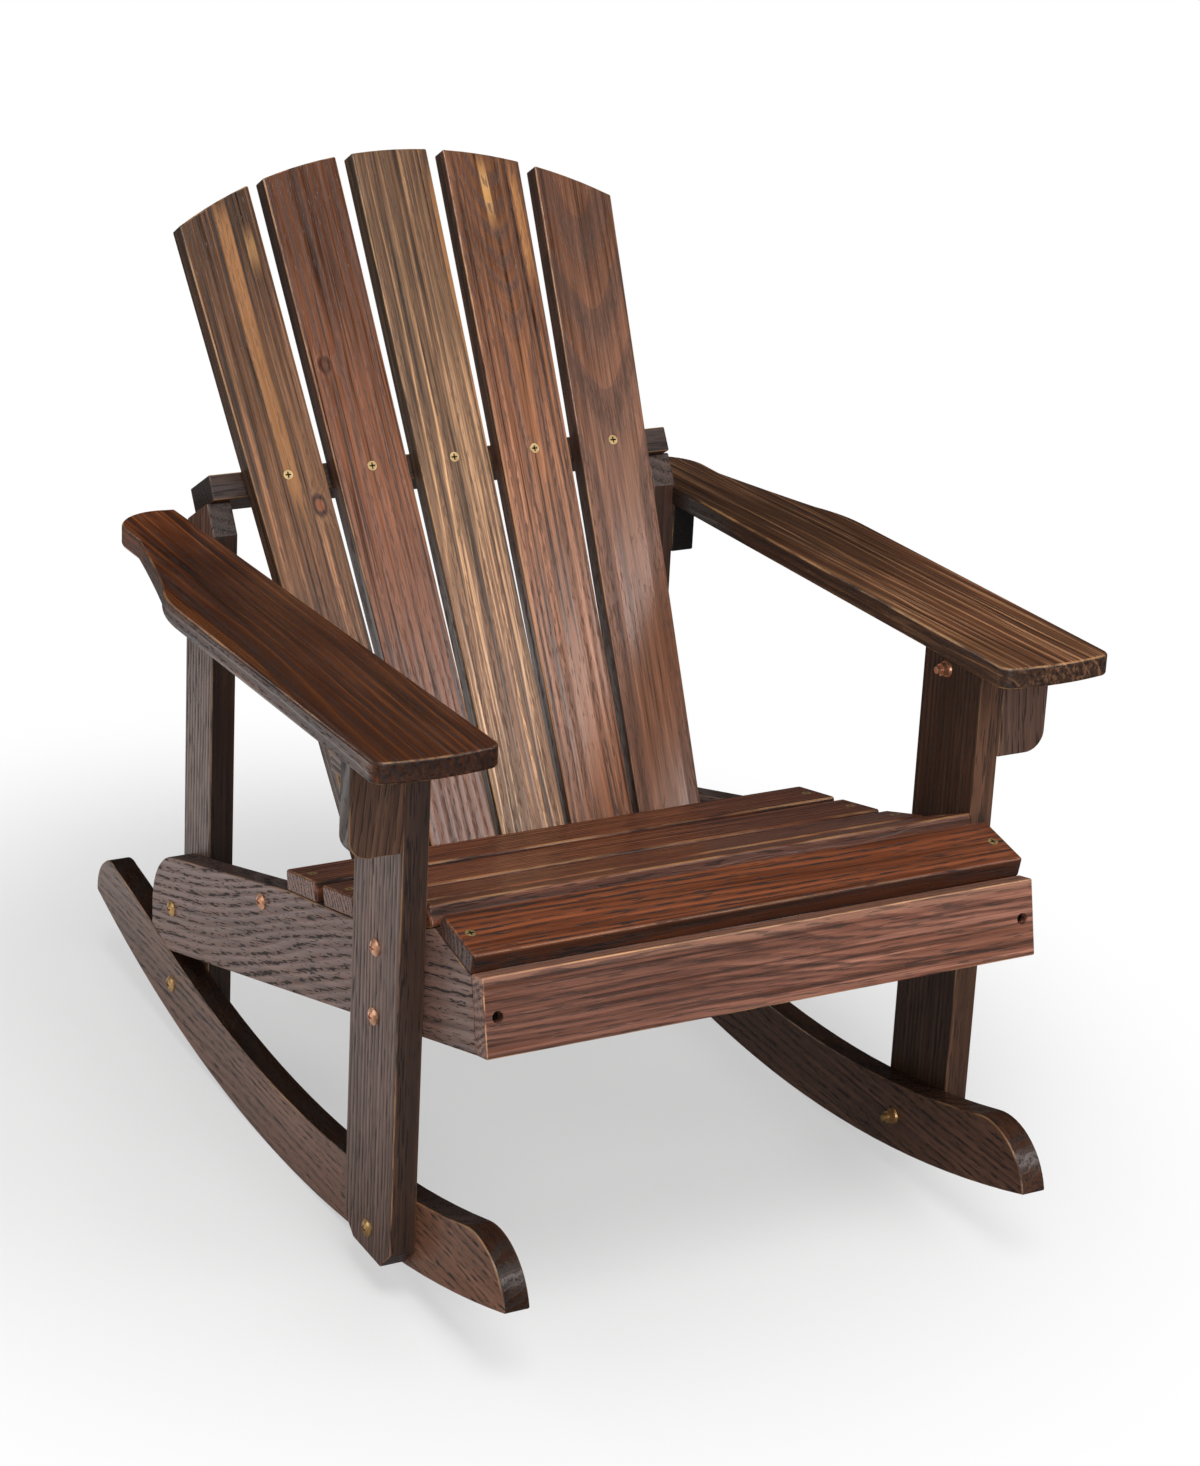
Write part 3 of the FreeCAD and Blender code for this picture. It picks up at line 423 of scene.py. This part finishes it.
        colour = self.knotted(self.streaked(self.stained(late, vary)))
        colour = self.worn(self.mix(colour, look.pore, pores * look.pores))
        height = late * HEIGHT_LATE + self.fine * HEIGHT_FINE - pores * HEIGHT_PORE \
            + self.streaky * HEIGHT_STREAKY
        roughness = look.gloss + (1.0 - late) * look.dull + (self.fine - 0.5) * ROUGH_FINE \
            + pores * ROUGH_PORE
        return self.end(self.principled(
            Base_Color=colour, Roughness=roughness.most(SMOOTHEST).least(ROUGHEST),
            Normal=self.bump(height, look.relief),
            Coat_Weight=(1.0 - pores) * look.coat, Coat_Roughness=COAT_ROUGHNESS))


# Metal: the dark patches' noise (stretch, detail and roughness) and how much they show
PATCH_NOISE, PATCH_EDGE, PATCH_SHARE = ((180.0, 180.0, 180.0), 3.0, 0.6), (0.35, 0.7), 0.6
# The polish's noise, what it adds to the roughness and the depth of its relief
POLISH_STRETCH, POLISH_ROUGHNESS, POLISH_DEPTH = (900.0, 900.0, 900.0), 0.25, 0.00004
METALLIC = 0.8
# A screw's recess, darkened with painted shade: its tone, the depths under a board's face where it starts and
# is full, and how far past the face's width it fades out
RECESS_SHADE_TONE, RECESS_DEPTH, RECESS_MARGIN = rgb(0.012, 0.007, 0.003), (0.0001, 0.0004), 0.002


def metal(name, colour, dark, roughness, faces=(), low=None):
    """Plated metal with darker patches and a fine uneven polish.

    Flush screws are given with their boards and half of each face's width: what lies under a face is in a
    screw's recess, and painted dark there as shade. A low tint is given with two heights, and the colour
    turns to it from the upper one down to the lower.
    """
    f = Finish(bpy.data.materials.new(name))
    seen = f.coordinates()
    patch = f.noise(seen, *PATCH_NOISE).rise(*PATCH_EDGE)
    fine = f.noise(seen, POLISH_STRETCH)
    if low:
        tint, bottom, top = low
        colour = f.mix(colour, tint, f.dot(seen, (0.0, 0.0, 1.0)).fall(bottom, top))
    tone = f.mix(colour, dark, patch * PATCH_SHARE)
    for board, half_width in faces:
        from_centre = f.vector("SUBTRACT", seen, board.centre)
        under = board.half_depth - f.dot(from_centre, board.out)
        beside = abs(f.dot(from_centre, board.across))
        # Painted shade in a flush screw's recess, under the board's face
        recess_shade = under.rise(*RECESS_DEPTH) * beside.fall(half_width, half_width + RECESS_MARGIN)
        tone = f.mix(tone, RECESS_SHADE_TONE, recess_shade)
    return f.end(f.principled(Base_Color=tone, Roughness=fine * POLISH_ROUGHNESS + roughness,
                              Normal=f.bump(fine, POLISH_DEPTH), Metallic=METALLIC))


def dress(node, material):
    """Puts the material in every slot of a CAD node."""
    slots = nodes[node].data.materials
    if not slots:
        slots.append(material)
    for slot in range(len(slots)):
        slots[slot] = material


AMBER = rgb(0.40, 0.175, 0.060)
GOLD = rgb(0.62, 0.33, 0.12)

# The frame's boards: smooth brown with rows of dark pores
FRAME = dict(dark=rgb(0.145, 0.078, 0.060), light=rgb(0.205, 0.122, 0.102), spacing=0.0062, pith=(0.08, 0.02),
             wander=0.0, wobble=0.006, uneven=0.010, contrast=0.45, pores=0.92, pore_band=0.18,
             pore_size=(110.0, 1000.0), fibre=0.45, side=0.45, wear=0.45, gloss=0.30, blotches=0.10, coat=0.0,
             threads=0.2, furrows=0.25)
RAIL = dict(FRAME, swells=((-0.031, -0.12, 0.17),))
LEG = dict(FRAME, dark=rgb(0.088, 0.041, 0.026), light=rgb(0.225, 0.128, 0.100), spacing=0.0044, wobble=0.003,
           uneven=0.004, band=(0.15, 0.45), side=0.48, pore_band=0.14, pores=0.8, pore_size=(45.0, 850.0))
# The rear arm cleats are near black: painted shade under the armrests
REAR_CLEAT = dict(LEG, dark=rgb(0.012, 0.007, 0.005), light=rgb(0.03, 0.018, 0.012))
ROCKER = dict(FRAME, dark=rgb(0.118, 0.052, 0.030), light=rgb(0.160, 0.074, 0.044), spacing=0.0056,
              pore_band=0.15, side=0.30, end=1.4, gloss=0.20, dull=0.12)

# The red seat, the dark armrests, and the back slats, which are glossier and carry painted light: lighter low
# down and darker towards their tops
SEAT = dict(dark=rgb(0.100, 0.025, 0.009), light=rgb(0.31, 0.110, 0.052), pith=(0.05, 0.02), spacing=0.0038,
            wear=0.6, side=0.9, end=1.1, gloss=0.28, blotches=0.3, contrast=0.6, pores=0.7,
            pore_size=(50.0, 850.0), threads=0.4, furrows=0.5, uneven=0.008, relief=0.00035)
ARMREST = dict(relief=0.00008, gloss=0.26, threads=0.45)
SLAT = dict(side=0.5, pore=rgb(0.045, 0.016, 0.007), end=0.4, gloss=0.16, dull=0.20, coat=0.10, wear=0.8,
            contrast=0.40, relief=0.00013, pores=0.45, pore_size=(110.0, 1000.0), mottle=0.35, threads=0.55,
            furrows=0.7, fibre=0.8, fade=(1.55, 0.80, 0.0))

# Every board in the order of its seed
SEAT_SLATS = ("seat_slat_1", "seat_slat_2", "seat_slat_3", "seat_slat_4")
BOARDS = {
    "back_slat_1": dict(
        SLAT, dark=rgb(0.085, 0.036, 0.014), light=rgb(0.23, 0.112, 0.056), spacing=0.0044, pith=(0.05, 0.02),
        band=(0.6, 0.9), fade=(1.55, 0.70, 0.0),
        streaks=((0.03, 0.235, -0.0035, -0.0025, 0.0058, AMBER, 0.7),
                 (0.205, 0.213, -0.019, -0.019, 0.0045, GOLD, 0.8)),
        knots=((0.026, -0.0183, 0.0040, 1.8, rgb(0.22, 0.070, 0.028)),)),
    "back_slat_2": dict(
        SLAT, dark=rgb(0.118, 0.044, 0.022), light=rgb(0.20, 0.082, 0.044), contrast=0.2, spacing=0.0065,
        pith=(0.06, 0.02), uneven=0.012, threads=0.2,
        knots=((0.1167, 0.0166, 0.0036, 1.2, rgb(0.11, 0.036, 0.016)),)),
    "back_slat_3": dict(
        SLAT, dark=rgb(0.138, 0.070, 0.034), light=rgb(0.44, 0.25, 0.130), spacing=0.0068, pith=(0.06, 0.03),
        band=(0.78, 0.93), wobble=0.006, uneven=0.010, contrast=0.9, vary=1.0,
        streaks=((-0.02, 0.24, -0.0275, -0.0275, 0.0022, AMBER, 0.9),)),
    "back_slat_4": dict(
        SLAT, dark=rgb(0.130, 0.050, 0.024), light=rgb(0.26, 0.115, 0.058), spacing=0.0042, pith=(0.0, 0.012),
        swells=((0.030, 0.10, 0.30),), pores=0.6, wander=0.0, wobble=0.003, contrast=0.6, vary=1.0,
        fade=(1.5, 0.85, 0.0),
        streaks=((0.17, 0.24, -0.0225, -0.0225, 0.0035, AMBER, 0.9),
                 (0.215, 0.245, 0.0, 0.001, 0.0035, GOLD, 0.8))),
    "back_slat_5": dict(
        SLAT, dark=rgb(0.108, 0.044, 0.023), light=rgb(0.185, 0.086, 0.052), spacing=0.027, phase=1.326,
        contrast=0.95, threads=0.1, furrows=0.25, pith=(0.001, 0.004), swells=((0.085, 0.0, 0.28),),
        band=(0.2, 0.95), wander=0.0, uneven=0.003, vary=0.3, fade=(1.3, 0.95, 0.0)),
    **dict.fromkeys(SEAT_SLATS, SEAT),
    "front_seat_slat": dict(
        SEAT, dark=rgb(0.110, 0.028, 0.009), light=rgb(0.27, 0.080, 0.032), side=0.40, spacing=0.0046,
        contrast=0.75, pores=0.85, wear=0.15),
    "front_apron": dict(
        SEAT, dark=rgb(0.125, 0.044, 0.026), light=rgb(0.37, 0.172, 0.120), spacing=0.0050, pores=0.5,
        side=0.8, end=1.3, contrast=0.40, fade=(0.88, 1.20, -1.0), swells=((0.03, -0.1, 0.2),), uneven=0.012,
        wear=0.8, worn=rgb(0.62, 0.33, 0.15),
        streaks=((-0.3, 0.3, 0.0254, 0.0254, 0.0055, rgb(0.40, 0.20, 0.13), 0.5),)),
    "left_armrest": dict(
        ARMREST, dark=rgb(0.047, 0.010, 0.001), light=rgb(0.165, 0.050, 0.011), side=1.0, pith=(0.05, 0.03),
        pores=0.3, contrast=0.6, spacing=0.0065, band=(0.7, 0.92), furrows=0.55, wear=0.4,
        fade=(0.85, 2.0, 0.45)),
    "right_armrest": dict(
        ARMREST, dark=rgb(0.067, 0.026, 0.010), light=rgb(0.36, 0.180, 0.085), side=0.4, end=0.9,
        pith=(0.06, 0.03), pores=0.35, contrast=0.8, vary=1.0, spacing=0.0070, band=(0.75, 0.92),
        fade=(1.5, 0.6, -1.0), furrows=0.6, uneven=0.010),
    "left_front_leg": LEG,
    # The right front leg's colours are darkened with painted shade for its inner face, and its sides are
    # lifted back up
    "right_front_leg": dict(LEG, dark=rgb(0.028, 0.012, 0.006), light=rgb(0.095, 0.048, 0.030), side=2.3),
    # The left rear leg's sides are darker: painted shade under the armrest
    "left_rear_leg": dict(LEG, side=0.3),
    "right_rear_leg": LEG,
    "left_seat_rail": RAIL,
    "right_seat_rail": RAIL,
    "left_rocker": dict(ROCKER, fade=(1.35, 0.95, -1.0), side=0.18, end=0.8),
    # The right rocker's colours are darkened with painted shade for its inner face
    "right_rocker": dict(ROCKER, dark=rgb(0.075, 0.033, 0.019), light=rgb(0.10, 0.047, 0.029), side=0.5),
    "left_arm_bracket": dict(LEG, dark=rgb(0.080, 0.036, 0.020), light=rgb(0.165, 0.086, 0.056)),
    "right_arm_bracket": dict(LEG, dark=rgb(0.105, 0.052, 0.034), light=rgb(0.220, 0.125, 0.092)),
    "left_front_arm_cleat": LEG,
    "right_front_arm_cleat": LEG,
    "left_rear_arm_cleat": REAR_CLEAT,
    "right_rear_arm_cleat": REAR_CLEAT,
    # The upper crossbar is darker: painted shade behind the back slats
    "upper_crossbar": dict(LEG, dark=rgb(0.060, 0.025, 0.015), light=rgb(0.14, 0.07, 0.045)),
    "lower_crosspiece": LEG,
}
SEED_FIRST, SEED_STEP = 0.4, 0.77

# The bolts and nuts are of a coppery plate, and of a brass one below a height. The screws are brass
COPPER = dict(colour=rgb(0.85, 0.47, 0.30), dark=rgb(0.30, 0.11, 0.05), roughness=0.22,
              low=(rgb(0.58, 0.38, 0.16), 0.12, 0.15))
BRASS = dict(colour=rgb(0.70, 0.50, 0.24), dark=rgb(0.24, 0.13, 0.05), roughness=0.30)

# The boards that flush screws are sunk into, with half the face's width where it isn't the board's own; their
# recesses get painted shade. The back slats share one plane, so one of them stands for all, and its face is
# taken wider than the back
FLUSH_SCREWS = {
    "back_screws": {"back_slat_3": 1.0},
    "apron_screws": {"front_apron": None},
    "seat_screws": dict.fromkeys((*SEAT_SLATS, "front_seat_slat")),
}


def dress_boards():
    for index, (label, own) in enumerate(BOARDS.items()):
        wood = Wood(label + "_wood", nodes[label], seed=index * SEED_STEP + SEED_FIRST, **own)
        dress(label, wood.made())


def dress_hardware():
    zinc = metal("yellow_zinc", **COPPER)
    for label in nodes:
        if label.endswith(("bolts", "nuts")):
            dress(label, zinc)
        if label.endswith("screws"):
            faces = []
            for name, half_width in FLUSH_SCREWS.get(label, {}).items():
                board = Board(nodes[name])
                faces.append((board, half_width or board.half_width))
            dress(label, metal(label + "_brass", faces=faces, **BRASS))


# The floor: half its size, its grey, and how white the camera sees it under the chair. Between two distances
# it gets all white, round a middle a little behind the chair, and a little further out along y than along x
FLOOR_REACH, FLOOR_GREY, FLOOR_ROUGHNESS = 12.0, rgb(0.62, 0.62, 0.62), 0.9
WHITE_UNDER, WHITE_EDGE = 0.48, (0.28, 0.62)
WHITE_SHIFT, WHITE_STRETCH = (0.05, -0.10, 0.0), (1.0, 0.9, 0.0)
# The floor in gloss glows with painted light: a pool of it behind the chair on the left, by its edges in x
# and y, and dark elsewhere
POOL_SIDE, POOL_END = (-0.35, -0.10), (0.85, 1.15)
POOL_NEAR, POOL_NEAR_SHARE, POOL_FAR, POOL_FAR_SHARE = (-0.3, 0.1), 0.75, (0.25, 0.6), 0.5
POOL_LIGHT, FLOOR_IN_GLOSS = 0.85, 0.10
# The world: its even fill, and in gloss its light above the horizon, the light added below it and the change
WORLD_FILL, GLOSS_ABOVE, GLOSS_BELOW, HORIZON = 0.35, 0.01, 0.15, (-0.05, 0.05)


def floor_piece():
    """A wide flat sheet under the chair: pale grey near it, and white further out to the camera. In gloss it
    glows with painted light, brightest in a pool behind the chair on the left.
    """
    mesh = bpy.data.meshes.new("floor")
    corners = [(x * FLOOR_REACH, y * FLOOR_REACH, 0) for x, y in ((-1, -1), (1, -1), (1, 1), (-1, 1))]
    mesh.from_pydata(corners, [], [(0, 1, 2, 3)])
    floor = bpy.data.objects.new("floor", mesh)
    bpy.context.scene.collection.objects.link(floor)
    f = Finish(bpy.data.materials.new("pale_floor"))
    seen = f.coordinates()
    turned = f.vector("MULTIPLY", f.vector("ADD", seen, WHITE_SHIFT), WHITE_STRETCH)
    far = f.vector("LENGTH", turned, output="Value").rise(*WHITE_EDGE) * (1.0 - WHITE_UNDER) + WHITE_UNDER
    # Where the floor glows in gloss with a pool of painted light
    side, back = f.dot(seen, (1, 0, 0)), f.dot(seen, (0, 1, 0))
    depth = back.rise(*POOL_NEAR) * POOL_NEAR_SHARE + back.rise(*POOL_FAR) * POOL_FAR_SHARE
    painted_light_pool = side.fall(*POOL_SIDE) * depth * back.fall(*POOL_END)
    camera, gloss = f.rays()
    sheet = f.principled(Base_Color=FLOOR_GREY, Roughness=FLOOR_ROUGHNESS)
    white = f.principled(Base_Color=rgb(0, 0, 0), Specular_IOR_Level=0.0, Emission_Strength=1.0,
                         Emission_Color=camera + gloss * (painted_light_pool * POOL_LIGHT + FLOOR_IN_GLOSS))
    mixed = f.node("ShaderNodeMixShader", None, {0: camera * far + gloss, 1: sheet, 2: white})
    mesh.materials.append(f.end(f.wire(mixed)))


def soft_lamp(name, place, aim, size, power):
    """An area lamp at a place, turned to shine at its aim."""
    data = bpy.data.lights.new(name, "AREA")
    data.shape = "RECTANGLE"
    data.size, data.size_y = size
    data.energy = power
    lamp = bpy.data.objects.new(name, data)
    bpy.context.scene.collection.objects.link(lamp)
    lamp.location = place
    lamp.visible_camera = False
    lamp.rotation_mode = "QUATERNION"
    lamp.rotation_quaternion = (Vector(place) - Vector(aim)).to_track_quat("Z", "Y")


def studio_world():
    """An even fill. The camera sees it white, and gloss sees it pale below the horizon and dark above."""
    f = Finish(bpy.data.worlds.new("studio"))
    camera, gloss = f.rays()
    height = f.dot(f.coordinates("Generated"), (0.0, 0.0, 1.0))
    in_gloss = height.fall(*HORIZON) * GLOSS_BELOW + GLOSS_ABOVE
    strength = camera + (1.0 - camera) * (gloss * in_gloss + (1.0 - gloss) * WORLD_FILL)
    fill = f.node("ShaderNodeBackground", None, {"Color": rgb(1, 1, 1), "Strength": strength})
    bpy.context.scene.world = f.end(f.wire(fill), "ShaderNodeOutputWorld")


def photograph_camera():
    """The camera at the photograph's place, turned by azimuth, elevation and roll."""
    azimuth, elevation, roll = (math.radians(a) for a in (CAMERA_AZIMUTH, CAMERA_ELEVATION, CAMERA_ROLL))
    ahead = Vector((-math.sin(azimuth) * math.cos(elevation), math.cos(azimuth) * math.cos(elevation),
                    -math.sin(elevation)))
    level = Vector((math.cos(azimuth), math.sin(azimuth), 0))
    above = level.cross(ahead)
    right = level * math.cos(roll) + above * math.sin(roll)
    up = above * math.cos(roll) - level * math.sin(roll)
    data = bpy.data.cameras.new("camera")
    data.sensor_width, data.lens = CAMERA_SENSOR, CAMERA_LENS
    camera = bpy.data.objects.new("camera", data)
    bpy.context.scene.collection.objects.link(camera)
    turn = Matrix((right, up, -ahead)).transposed()
    camera.matrix_world = Matrix.Translation(CAMERA_PLACE) @ turn.to_4x4()
    bpy.context.scene.camera = camera


# Each lamp's place, its aim, its width and height, and its watts
LAMPS = {
    "key": ((-0.5, -1.4, 3.0), (0, 0, 0.25), (1.6, 1.4), 66),
    "panel": ((0.96, -1.37, 1.31), (0, 0.05, 0.28), (1.0, 0.64), 8),
    "front": ((-1.0, -2.9, 0.9), (0, 0, 0.25), (1.4, 1.0), 28),
    "back": ((-1.3, 2.3, 1.9), (0, 0, 0.3), (1.4, 1.0), 12),
    "left_fill": ((-2.4, 0.2, 1.2), (0, 0, 0.3), (1.6, 1.4), 12),
}

dress_boards()
dress_hardware()
floor_piece()
for lamp_name, lamp_look in LAMPS.items():
    soft_lamp(lamp_name, *lamp_look)
studio_world()
photograph_camera()
bpy.context.scene.view_settings.view_transform = "Standard"
